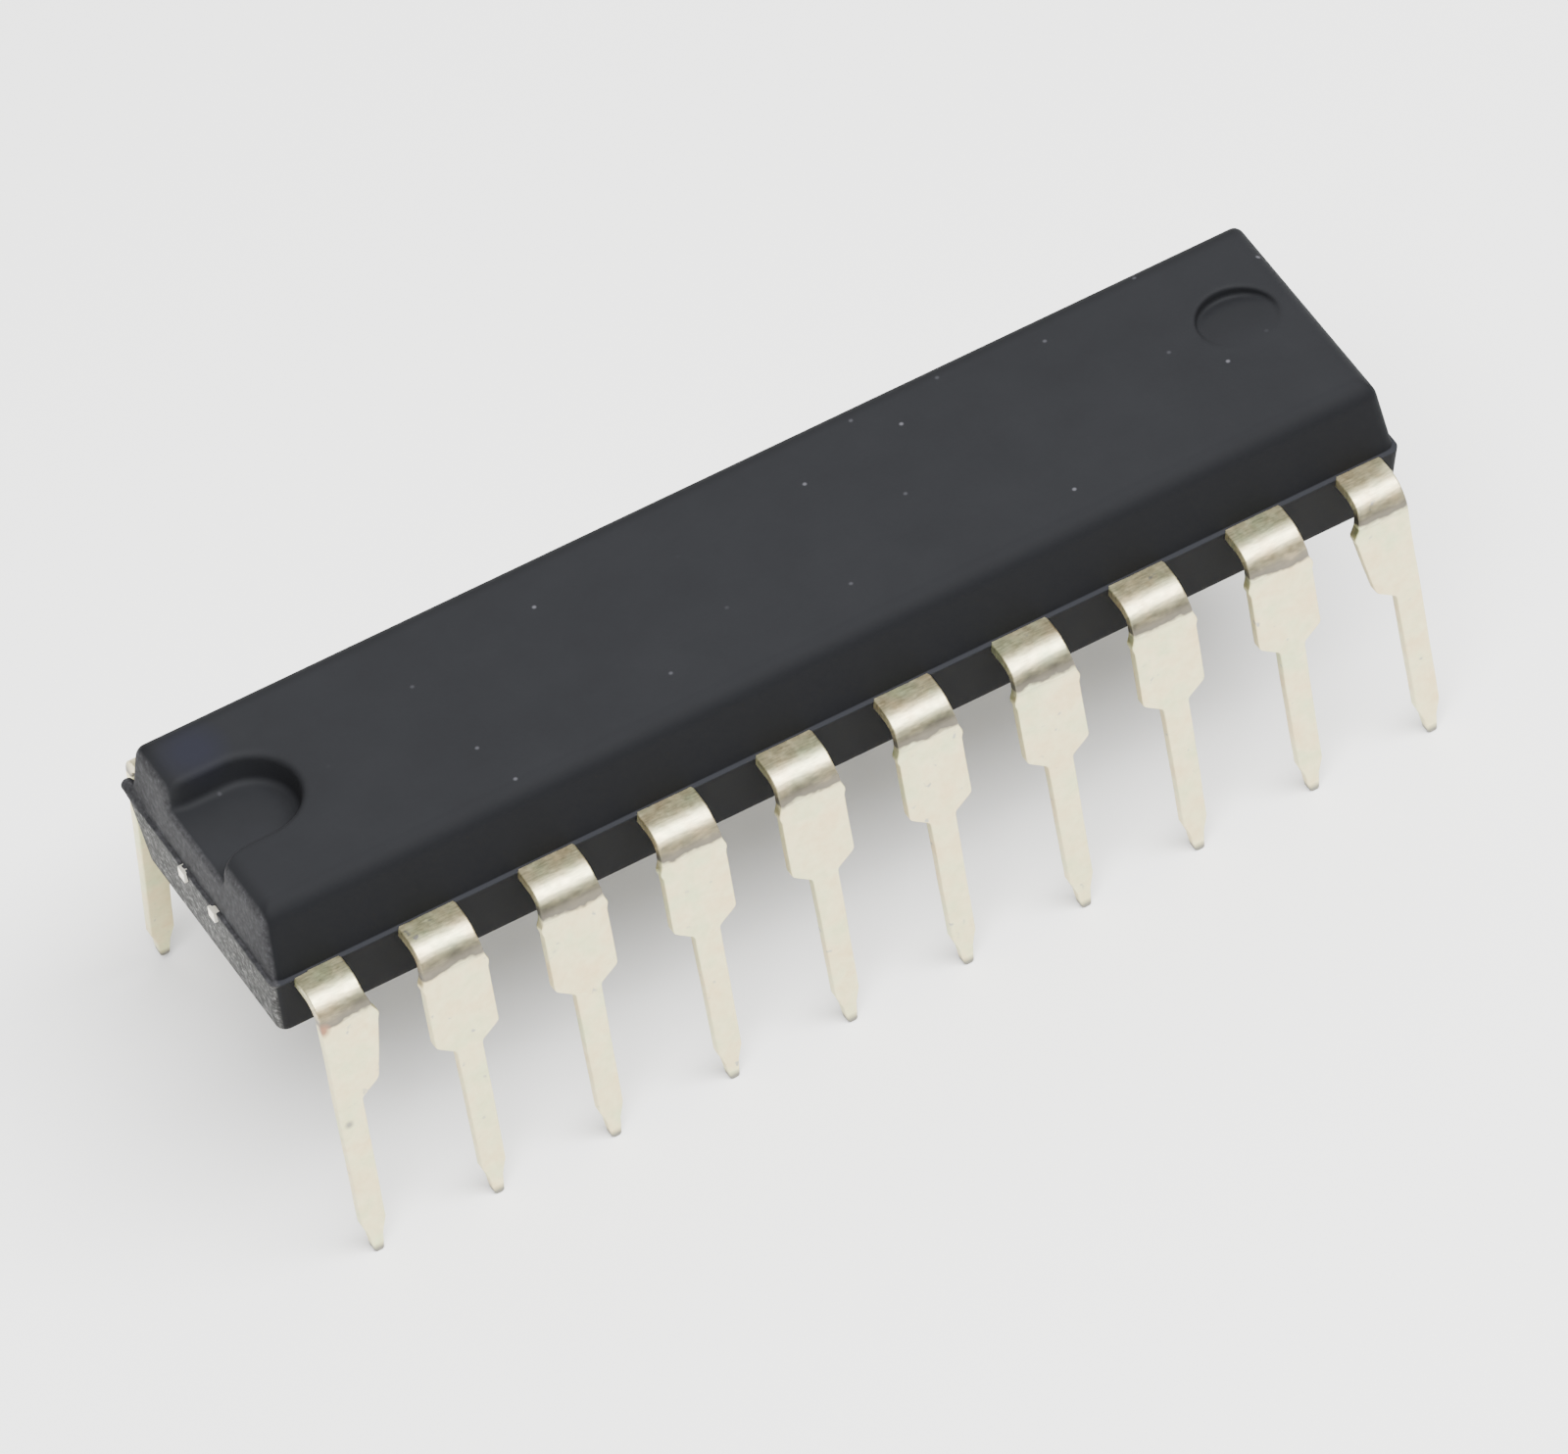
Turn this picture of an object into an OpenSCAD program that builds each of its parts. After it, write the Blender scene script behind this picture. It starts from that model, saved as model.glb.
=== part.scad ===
// Dual in-line chip with twenty leads: a moulded body round a stamped lead frame,
// a silicon die on its paddle and twenty bond wires. Millimetres, +Z up, standing on its lead tips.
// The marked end with the notch is at -X. Leads 1 to 10 run along -Y, 11 to 20 back along +Y.

/* [Body] */
// Length of the moulded body at its parting line
body_l = 24.3; // [24.2:0.1:26.8]
// Width of the moulded body at its parting line
body_w = 6; // [5.8:0.05:6.6]
// Height of the upper half above the parting line
upper_h = 1.55; // [1.3:0.05:2]
// Height of the lower half below the parting line
lower_h = 1.7; // [1.3:0.05:2]
// Draft of the long sides, in degrees
side_draft = 11; // [5:1:14]
// Draft of the two ends, in degrees
end_draft = 4.5; // [3:0.5:12]
// Step by which the lower half stands out past the upper half
ledge = 0.08; // [0.04:0.01:0.12]
// Radius of the edges round the top face
top_r = 0.3; // [0.1:0.05:0.4]
// Radius of the edges round the underside
bottom_r = 0.15; // [0.1:0.05:0.4]
// Radius of the four corner edges
corner_r = 0.22; // [0.17:0.05:0.37]

/* [Notch and marks] */
// Width of the notch at the top face
notch_w = 2.06; // [1.6:0.02:2.6]
// Length of the notch from the end of the top face to its round end
notch_l = 2.2; // [1.8:0.05:3]
// Sideways place of the notch
notch_y = 0.22; // [-0.3:0.02:0.3]
// Depth of the notch
notch_depth = 0.65; // [0.3:0.05:0.8]
// Lean of the notch wall, measured across its depth
notch_lean = 0.08; // [0.02:0.01:0.12]
// Cut of the corners where the notch opens into the end
mouth_cut = 0.2; // [0.05:0.05:0.4]
// Diameter of the round ejector marks
ejector_d = 1.6; // [1.2:0.02:1.8]
// Depth of the ejector mark in the top face
ejector_depth = 0.25; // [0.1:0.05:0.4]
// Depth of the two ejector marks in the underside
under_depth = 0.15; // [0.05:0.05:0.3]
// Distance from the end of the top face to the middle of the ejector mark
ejector_in = 1.3; // [1:0.02:2]
// Sideways place of the ejector mark in the top face
ejector_y = 0.38; // [-0.4:0.02:0.4]
// How far the gate scar stands out of the far long side
gate_out = 0.12; // [0.06:0.02:0.2]
// Diameter of the gate scar
gate_d = 0.3; // [0.26:0.02:0.36]
// Distance from the marked end to the middle of the gate scar
gate_in = 0.12; // [0.1:0.01:0.16]
// Height of the middle of the gate scar above the parting line
gate_up = 0.06; // [0.02:0.01:0.1]

/* [Leads] */
// Distance from lead to lead along a row
pitch = 2.54; // [2.5:0.01:2.58]
// Distance between the two rows, taken at the middle of the metal
row_space = 7.62; // [7.5:0.02:8]
// Thickness of the lead frame
strip_t = 0.25; // [0.2:0.01:0.3]
// Inside radius of the bend
bend_r = 0.35; // [0.25:0.05:0.45]
// How far each row leans outwards, in degrees
splay = 4.5; // [0:0.5:8]
// Length of a lead from the end of its bend to its tip
lead_l = 5.95; // [5:0.05:6.2]
// Width of a lead where it leaves the body and in its bend
neck_w = 1.22; // [1:0.02:1.3]
// Width of a lead over the stubs of the cut dam bar
stub_w = 1.44; // [1.36:0.02:1.5]
// Length of those stubs
stub_l = 0.26; // [0.15:0.01:0.35]
// Width of the wide part of a lead
wide_w = 1.34; // [1.2:0.02:1.4]
// Distance from the bend down to the shoulders
shoulder_s = 1.8; // [1.5:0.05:2.4]
// Height over which the shoulders slope in to the leg
shoulder_h = 0.3; // [0.2:0.05:0.5]
// Width of the leg below the shoulders
leg_w = 0.54; // [0.46:0.01:0.6]
// Width of the leg just above its point
leg_end_w = 0.5; // [0.4:0.01:0.56]
// Length of the pointed end of the leg
tip_l = 0.75; // [0.5:0.05:1]
// Length of the last, blunter part of the point
nib_l = 0.41; // [0.3:0.01:0.45]
// Width of the point where that part begins
nib_w = 0.29; // [0.24:0.01:0.36]
// Width of the cut end of the point
tip_w = 0.2; // [0.12:0.02:0.3]
// Width of the four end leads in their bend
end_neck_w = 1.0; // [0.9:0.02:1.1]
// Distance from the middle line of an end lead to its inner side, where that is widest
end_wide = 0.88; // [0.75:0.01:0.95]

/* [Inside] */
// Length of the straight root of each lead inside the wall
root_l = 0.35; // [0.25:0.05:0.4]
// Gap between neighbouring fingers
finger_gap = 0.22; // [0.18:0.02:0.24]
// Gap between the outermost finger and the roots
root_gap = 0.19; // [0.15:0.01:0.25]
// Longest slanted turn of a finger in to its lane
finger_turn = 0.6; // [0.4:0.05:0.8]
// Length of the paddle that carries the die
paddle_l = 5; // [4:0.1:5.4]
// Width of the paddle
paddle_w = 3; // [2.6:0.1:3.2]
// Gap between the paddle and the finger tips
paddle_gap = 0.25; // [0.2:0.05:0.35]
// How far the paddle lies below the fingers
downset = 0.3; // [0.2:0.05:0.4]
// Width of the bars that tie the paddle to the ends
tie_w = 0.24; // [0.2:0.02:0.4]
// Distance of each tie bar from the middle line
tie_y = 0.6; // [0.5:0.02:0.62]
// Length of the straight start of a tie bar at the paddle
tie_flat = 0.3; // [0.2:0.05:0.6]
// Length over which a tie bar steps up from the paddle
tie_step = 0.36; // [0.3:0.02:0.6]
// How far the cut ends of the tie bars stand out of the body
tie_out = 0.05; // [0.02:0.01:0.1]
// Length of the silicon die
die_l = 3; // [2.4:0.1:3.6]
// Width of the silicon die
die_w = 2.2; // [1.8:0.1:2.4]
// Thickness of the silicon die
die_t = 0.35; // [0.2:0.05:0.45]
// Thickness of the bonding layer under the die
attach_t = 0.03; // [0.02:0.01:0.05]
// How far the bonding layer shows round the die
attach_out = 0.1; // [0.05:0.05:0.2]
// Diameter of the bond wires
wire_d = 0.038; // [0.03:0.002:0.05]
// Height of the wire loops above the die
loop_h = 0.25; // [0.2:0.05:0.4]
// Distance of the bond pads from the edge of the die
pad_inset = 0.13; // [0.1:0.01:0.2]
// Distance from a finger's tip to the place where its wire lands
land_back = 0.28; // [0.2:0.02:0.4]

/* [Hidden] */
$fn = 48;
row_n = 10;
arc_n = 4;
edge_n = 4;
eps = 0.5;
lap = 0.1;

// Heights: the lead tips stand at z = 0, and the top of the lead frame is the parting plane
part_z = strip_t + bend_r - bend_r * sin(splay) + lead_l * cos(splay);
top_z = part_z + upper_h;
under_z = part_z - lower_h;
bend_u = row_space / 2 + strip_t / 2 - bend_r - strip_t;
bend_z = part_z - strip_t - bend_r;

// The upper half is smaller than the lower one by the ledge
upper_l = body_l - 2 * ledge;
upper_w = body_w - 2 * ledge;
top_l = upper_l - 2 * upper_h * tan(end_draft);
under_l = body_l - 2 * lower_h * tan(end_draft);

// Stubs and corners of the leads below the bend
stub_out = (stub_w - wide_w) / 2;
stub_ramp = 0.05;
corner_arc = 0.1;

// Roots of the fingers. Fingers 1 to 3 share the room between the tie bars and the roots, in a lane each.
root_u = body_w / 2 - root_l;
lane_step = (root_u - root_gap - tie_y - tie_w / 2) / 3;
finger_w = lane_step - finger_gap;
lane_1 = tie_y + tie_w / 2 + finger_gap + finger_w / 2;
// Tips of fingers 1 to 3: how far each one stays back from the paddle's end
tip_x = paddle_l / 2 + paddle_gap;
tip_back = [0, 0.45, 1.1];
// Fingers 4 and 5: sideways place on the root, where they turn, and the tip beside the paddle's corner
side_u = paddle_w / 2 + paddle_gap;
side_shift = [0.4, 0];
side_turn = [0.15, 0.2];
side_in = [0.3, 1.5];

// Die stack and bond wires
paddle_z = part_z - downset;
die_z = paddle_z + attach_t;
die_top = die_z + die_t;
ball_r = 1.6 * wire_d;
ball_h = 0.6 * wire_d;
ball_top = 0.8 * wire_d;
elbow_r = 2 * wire_d;
elbow_n = 4;
wire_sides = 6;

// Unit vector, and the vector turned a quarter left
function unit(v) = v / norm(v);
function left(v) = [-v[1], v[0]];

// Point of a strip's edge beside vertex i of its centre line, h to the left, with a mitred corner
function edge_point(p, i, h) =
    let (a = unit(p[max(i, 1)] - p[max(i, 1) - 1]))
    let (b = unit(p[min(i + 1, len(p) - 1)] - p[min(i, len(p) - 2)]))
    let (m = unit(left(a) + left(b)))
    p[i] + m * h / (m * left(a));

// Strip of even width along a centre line
module strip(p, w) {
    n = len(p) - 1;
    polygon(concat(
        [for (i = [0 : n]) edge_point(p, i, w / 2)],
        [for (i = [n : -1 : 0]) edge_point(p, i, -w / 2)]
    ));
}

// Arc of n chords that replaces vertex b between a and c, its ends tangent to both sides
function arc(a, b, c, r, n) =
    let (u = unit(a - b))
    let (v = unit(c - b))
    let (half = acos(u * v) / 2)
    let (mid = b + unit(u + v) * r / sin(half))
    let (start = b + u * r / tan(half) - mid)
    let (turn = (180 - 2 * half) * sign(u[0] * v[1] - u[1] * v[0]))
    [for (k = [0 : n]) let (t = -turn * k / n)
        mid + [start[0] * cos(t) - start[1] * sin(t), start[0] * sin(t) + start[1] * cos(t)]];

// Section of a drafted block: base b, height h, lean a, and a fillet r at the two top edges
module drafted_profile(b, h, a, r) {
    top = b / 2 - h * tan(a);
    round = arc([b / 2, 0], [top, h], [-top, h], r, edge_n);
    polygon(concat(
        [[-b / 2, 0], [b / 2, 0]],
        round,
        [for (i = [edge_n : -1 : 0]) [-round[i][0], round[i][1]]]
    ));
}

// What a fillet of radius corner_r takes off the corner edge where the two drafted sides meet.
// The prism runs along that edge. Its first and last chords go on past the sides, to cut them cleanly.
module corner_trim(l, w, h) {
    edge = unit([-tan(end_draft), -tan(side_draft), 1]);
    polar = acos(edge[2]);
    azimuth = atan2(edge[1], edge[0]);
    out = unit([cos(end_draft), cos(side_draft), sin(end_draft) + sin(side_draft)]);
    out_x = out * [cos(polar) * cos(azimuth), cos(polar) * sin(azimuth), -sin(polar)];
    out_y = out * [-sin(azimuth), cos(azimuth), 0];
    half = acos(sin(end_draft) * sin(side_draft)) / 2;
    round = arc([-cos(half), -sin(half)], [0, 0], [-cos(half), sin(half)], corner_r, edge_n);
    translate([l / 2, w / 2, 0])
        rotate([0, polar, azimuth])
            rotate([0, 0, atan2(out_y, out_x)])
                translate([0, 0, -eps])
                    linear_extrude(h + 2 * eps)
                        polygon(concat(
                            [[corner_r, 0], 2 * round[0] - round[1]],
                            [for (i = [1 : edge_n - 1]) round[i]],
                            [2 * round[edge_n] - round[edge_n - 1]]
                        ));
}

// One half of the body, standing on its parting face
module half_body(l, w, h, r) {
    difference() {
        intersection() {
            rotate([90, 0, 90]) linear_extrude(l, center = true) drafted_profile(w, h, side_draft, r);
            rotate([90, 0, 0]) linear_extrude(w, center = true) drafted_profile(l, h, end_draft, r);
        }
        for (sx = [0, 1], sy = [0, 1])
            mirror([sx, 0, 0]) mirror([0, sy, 0]) corner_trim(l, w, h);
    }
}

// Notch in the marked end: a round end and a straight mouth, with walls that lean out upwards,
// and a cut corner on each side where it opens into the end
module notch() {
    h = notch_depth + eps;
    floor_r = notch_w / 2 - notch_lean;
    rim_r = notch_w / 2 + notch_lean * eps / notch_depth;
    mouth_u = notch_w / 2 + mouth_cut;
    round_x = notch_l - notch_w / 2;
    translate([-top_l / 2, notch_y, top_z - notch_depth]) {
        translate([round_x, 0, 0]) cylinder(h = h, r1 = floor_r, r2 = rim_r);
        translate([round_x, 0, 0])
            rotate([90, 0, -90])
                linear_extrude(notch_l)
                    polygon([[-floor_r, 0], [floor_r, 0], [rim_r, h], [-rim_r, h]]);
        linear_extrude(h)
            polygon([
                [-eps, -mouth_u - eps], [mouth_u, 0], [-eps, mouth_u + eps]
            ]);
    }
}

// Round marks of the mould's ejector pins, one on top and two below
module ejector_marks() {
    translate([top_l / 2 - ejector_in, ejector_y, top_z - ejector_depth])
        cylinder(h = ejector_depth + eps, d = ejector_d);
    for (side = [-1, 1])
        translate([side * (under_l / 2 - ejector_in), 0, under_z - eps])
            cylinder(h = under_depth + eps, d = ejector_d);
}

// Scar of the mould's gate, on the far long side at the corner of the marked end
module gate_scar() {
    translate([gate_in - body_l / 2, body_w / 2 + gate_out, part_z + gate_up])
        rotate([90, 0, 0])
            cylinder(h = gate_out + 2 * corner_r, d = gate_d);
}

module body() {
    color("#2b2c2f")
        difference() {
            union() {
                translate([0, 0, part_z]) half_body(upper_l, upper_w, upper_h, top_r);
                translate([0, 0, part_z]) mirror([0, 0, 1]) half_body(body_l, body_w, lower_h, bottom_r);
                gate_scar();
            }
            notch();
            ejector_marks();
            for (i = [1 : 2 * row_n]) lead(i);
            die_paddle();
            die_attach();
            die();
            for (i = [1 : 2 * row_n]) bond_wire(i);
        }
}

// Place of lead k, counted from the marked end
function lead_x(k) = (k - (row_n + 1) / 2) * pitch;

// Sides of the neck of lead k: the end leads keep their outer side straight
function neck_lo(k) = k == 1 ? -leg_w / 2 : -neck_w / 2;
function neck_hi(k) = k == 1 ? end_neck_w - leg_w / 2 : neck_w / 2;

// Centre line of the finger of lead k, as x and distance from the middle of the body.
// Fingers 1 to 3 turn into lanes beside the tie bars, and 4 and 5 reach the paddle's long side.
function lane(k) = lane_1 + (k - 1) * lane_step;
function lane_turn(k) = min(finger_turn, root_u - lane(k));
function root_x(k) = lead_x(k) + (neck_lo(k) + neck_hi(k)) / 2;
function finger_path(k) =
    k <= 3
    ? [
        [root_x(k), root_u + lap], [root_x(k), lane(k) + lane_turn(k)],
        [root_x(k) + lane_turn(k), lane(k)], [-tip_x - tip_back[k - 1], lane(k)]
    ]
    : [
        [root_x(k) + side_shift[k - 4], root_u + lap],
        [root_x(k) + side_shift[k - 4], root_u - side_turn[k - 4]],
        [side_in[k - 4] - paddle_l / 2, side_u]
    ];

// Flat part of lead k in the plane of the lead frame, from finger tip to bend
module flat_outline(k) {
    translate([lead_x(k), 0])
        polygon([
            [neck_lo(k), root_u], [neck_hi(k), root_u],
            [neck_hi(k), bend_u], [neck_lo(k), bend_u]
        ]);
    strip(finger_path(k), finger_w);
}

// Half outline of a lead below its bend, as half width and distance down from the bend.
// The dam bar's stubs, the wide part, a sloping shoulder with a round corner, the leg and its point.
function leg_side(neck, stub, wide_top, wide_end) =
    let (corner = [wide_end, shoulder_s])
    let (root = [leg_w / 2, shoulder_s + shoulder_h])
    let (leg_end = [leg_end_w / 2, lead_l - tip_l])
    concat(
        [[neck, 0], [stub, stub_ramp], [stub, stub_l], [wide_top, stub_l + stub_ramp]],
        arc([wide_top, stub_l], corner, root, corner_arc, arc_n),
        arc(corner, root, leg_end, corner_arc, arc_n),
        [leg_end, [nib_w / 2, lead_l - nib_l], [tip_w / 2, lead_l]]
    );

// Outer side of an end lead: one straight line down to the point
function straight_side() = [
    [leg_w / 2, 0], [leg_end_w / 2, lead_l - tip_l],
    [nib_w / 2, lead_l - nib_l], [tip_w / 2, lead_l]
];

module leg_outline(k) {
    inner = k == 1
        ? leg_side(neck_hi(k), end_wide + stub_out, end_wide, wide_w / 2)
        : leg_side(neck_w / 2, stub_w / 2, wide_w / 2, wide_w / 2);
    outer = k == 1 ? straight_side() : inner;
    n = len(outer) - 1;
    polygon(concat(
        [for (p = inner) [p[0], -p[1]]],
        [for (i = [n : -1 : 0]) [-outer[i][0], -outer[i][1]]]
    ));
}

// Leads 1 to 5: flat part, bend and leg, of one strip of metal
module left_lead(k) {
    translate([0, 0, part_z - strip_t])
        linear_extrude(strip_t)
            mirror([0, 1]) flat_outline(k);
    translate([lead_x(k), -bend_u, bend_z])
        rotate([-splay, 0, 0]) {
            rotate([0, 90, 0])
                rotate_extrude(angle = 90 - splay, start = 180 + splay)
                    polygon([
                        [bend_r, neck_lo(k)], [bend_r + strip_t, neck_lo(k)],
                        [bend_r + strip_t, neck_hi(k)], [bend_r, neck_hi(k)]
                    ]);
            translate([0, -bend_r, 0])
                rotate([90, 0, 0])
                    linear_extrude(strip_t) leg_outline(k);
        }
}

// Places a piece of leads 1 to 5 where lead i has it: mirrored past the middle of its row,
// and turned half round for the far row
module place(i) {
    rotate([0, 0, i > row_n ? 180 : 0])
        mirror([index_in_row(i) > row_n / 2 ? 1 : 0, 0, 0])
            children();
}
function index_in_row(i) = i > row_n ? i - row_n : i;
function half_index(i) = min(index_in_row(i), row_n + 1 - index_in_row(i));

module lead(i) {
    color("#d9d5c6") place(i) left_lead(half_index(i));
}

// Paddle with the four tie bars that held it in the frame, stepped down from the fingers
module die_paddle() {
    bar_x = paddle_l / 2 + tie_flat;
    color("#c9c4b4") {
        translate([-paddle_l / 2, -paddle_w / 2, paddle_z - strip_t])
            cube([paddle_l, paddle_w, strip_t]);
        for (sx = [0, 1], sy = [-1, 1])
            mirror([sx, 0, 0])
                translate([0, sy * tie_y + tie_w / 2, 0])
                    rotate([90, 0, 0])
                        linear_extrude(tie_w)
                            strip([
                                [paddle_l / 2 - lap, paddle_z - strip_t / 2],
                                [bar_x, paddle_z - strip_t / 2],
                                [bar_x + tie_step, part_z - strip_t / 2],
                                [body_l / 2 + tie_out, part_z - strip_t / 2]
                            ], strip_t);
    }
}

module die_attach() {
    color("#8f8f8a")
        translate([-die_l / 2 - attach_out, -die_w / 2 - attach_out, paddle_z])
            cube([die_l + 2 * attach_out, die_w + 2 * attach_out, attach_t]);
}

module die() {
    color("#4a4f5c")
        translate([-die_l / 2, -die_w / 2, die_z])
            cube([die_l, die_w, die_t]);
}

// Bond pad of lead k on the die, evenly spaced along its edges: 1 to 3 on the end, 4 and 5 on the side
function pad_at(k) = k <= 3
    ? [-die_l / 2 + pad_inset, -(die_w / 2 - pad_inset) * (2 * k - 1) / 5]
    : [-(die_l / 2 - pad_inset) * (11 - 2 * k) / 4, -die_w / 2 + pad_inset];

// Place on the finger of lead k where its wire lands
function land_at(k) =
    let (p = finger_path(k))
    let (tip = p[len(p) - 1])
    let (q = tip + unit(p[len(p) - 2] - tip) * land_back)
    [q[0], -q[1]];

// Rings of a bond wire in its upright plane, as distance out, height, radius and lean of the ring.
// A ball on the pad, a short rise, a tight elbow, then a straight run tangent to the elbow.
function wire_rings(reach) =
    let (elbow_z = loop_h - elbow_r)
    let (drop = elbow_z + die_top - part_z)
    let (fall = asin(elbow_r / norm([reach - elbow_r, drop])) + atan2(drop, reach - elbow_r))
    concat(
        [[0, 0, ball_r, 0], [0, ball_h, ball_r, 0], [0, ball_top, wire_d / 2, 0]],
        [for (k = [0 : elbow_n]) let (t = (90 + fall) * k / elbow_n)
            [elbow_r - elbow_r * cos(t), elbow_z + elbow_r * sin(t), wire_d / 2, t]],
        [[reach, part_z - die_top, wire_d / 2 / sin(fall), 180]]
    );

// Corner j of a ring. The last ring lies flat on the finger, stretched to the slant of the wire.
function ring_point(ring, j) =
    let (t = 360 * j / wire_sides)
    ring[3] == 180
    ? [ring[0] - ring[2] * cos(t), sin(t) * wire_d / 2, ring[1]]
    : [
        ring[0] + ring[2] * cos(t) * cos(ring[3]), ring[2] * sin(t),
        ring[1] - ring[2] * cos(t) * sin(ring[3])
    ];

// Bond wire of leads 1 to 5, swept through its rings
module left_wire(k) {
    run = land_at(k) - pad_at(k);
    rings = wire_rings(norm(run));
    last = len(rings) - 1;
    translate([pad_at(k)[0], pad_at(k)[1], die_top])
        rotate([0, 0, atan2(run[1], run[0])])
            polyhedron(
                points = [for (ring = rings, j = [0 : wire_sides - 1]) ring_point(ring, j)],
                faces = concat(
                    [[for (j = [0 : wire_sides - 1]) j]],
                    [for (i = [0 : last - 1], j = [0 : wire_sides - 1])
                        let (a = i * wire_sides + j, b = i * wire_sides + (j + 1) % wire_sides)
                        [a, a + wire_sides, b + wire_sides, b]],
                    [[for (j = [wire_sides - 1 : -1 : 0]) last * wire_sides + j]]
                )
            );
}

module bond_wire(i) {
    color("#d8b04a") place(i) left_wire(half_index(i));
}

body();
die_paddle();
die_attach();
die();
for (i = [1 : 2 * row_n]) {
    lead(i);
    bond_wire(i);
}
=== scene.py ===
import math

import bpy
import numpy as np
from mathutils import Matrix, Vector


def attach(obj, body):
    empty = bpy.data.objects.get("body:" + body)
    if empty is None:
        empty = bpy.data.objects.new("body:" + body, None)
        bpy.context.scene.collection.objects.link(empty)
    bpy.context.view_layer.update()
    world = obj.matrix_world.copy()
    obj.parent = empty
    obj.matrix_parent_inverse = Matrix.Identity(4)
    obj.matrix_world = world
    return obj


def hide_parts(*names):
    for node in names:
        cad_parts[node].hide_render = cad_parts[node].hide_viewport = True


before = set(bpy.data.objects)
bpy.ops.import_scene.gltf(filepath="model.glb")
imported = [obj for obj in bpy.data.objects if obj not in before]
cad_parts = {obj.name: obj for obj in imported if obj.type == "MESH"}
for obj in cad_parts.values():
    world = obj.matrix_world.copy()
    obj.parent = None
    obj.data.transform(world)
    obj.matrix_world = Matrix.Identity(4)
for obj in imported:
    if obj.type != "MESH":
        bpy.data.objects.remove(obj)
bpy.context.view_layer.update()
mm = 0.001
print("frame loaded,", len(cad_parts), "nodes")


def toLinear(hexText):
    # sRGB hex to the linear colour that the shader wants: a straight line near black, a power of 2.4
    # above it
    parts = [int(hexText[i:i + 2], 16) / 255 for i in (1, 3, 5)]
    return [c / 12.92 if c <= 0.04045 else ((c + 0.055) / 1.055) ** 2.4 for c in parts] + [1.0]


def addNode(tree, kind, inputs=None, stops=(), **settings):
    # adds one node: inputs gives each socket a value, a hex colour or the socket that feeds it, stops are
    # the places and tones of a colour ramp, and settings are the node's own options
    node = tree.nodes.new(kind)
    for key, value in settings.items():
        setattr(node, key, value)
    for key, value in (inputs or {}).items():
        if isinstance(value, bpy.types.NodeSocket):
            tree.links.new(value, node.inputs[key])
        else:
            node.inputs[key].default_value = toLinear(value) if isinstance(value, str) else value
    if stops:
        points = node.color_ramp.elements
        while len(points) < len(stops):
            points.new(0.5)
        for point, (place, tone) in zip(points, stops):
            point.position = place
            point.color = toLinear(tone) if isinstance(tone, str) else [tone, tone, tone, 1]
    return node


def newMaterial(name):
    made = bpy.data.materials.new(name)
    made.use_nodes = True
    made.node_tree.nodes.clear()
    return made, made.node_tree


def finishMaterial(tree, inputs):
    # the shader comes last, fed by the patterns that were made for it
    shader = addNode(tree, "ShaderNodeBsdfPrincipled", inputs)
    addNode(tree, "ShaderNodeOutputMaterial", {"Surface": shader.outputs[0]})


def nearPoint(tree, place, point, reach):
    # 1 up to three tenths of the reach from a point in mm, then falls evenly to 0 at the reach
    gap = addNode(tree, "ShaderNodeVectorMath", {0: place, 1: [c * mm for c in point]}, operation="DISTANCE")
    share = addNode(tree, "ShaderNodeMapRange",
                    {"Value": gap.outputs["Value"], "From Min": reach * mm, "From Max": 0.3 * reach * mm})
    return share.outputs[0]


def layOver(tree, ground, coats):
    # lays coats on the ground colour, first to last: each has its share from 0 to 1, its colour, and how
    # it mixes
    for share, paint, blend in coats:
        mixed = addNode(tree, "ShaderNodeMix", {0: share, 6: ground, 7: paint}, data_type="RGBA",
                        blend_type=blend)
        ground = mixed.outputs[2]
    return ground


def smoothStep(x):
    # 0 up to 0, 1 from 1 on, and between them three times the square less twice the cube
    x = np.clip(x, 0, 1)
    return x * x * (3 - 2 * x)


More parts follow.
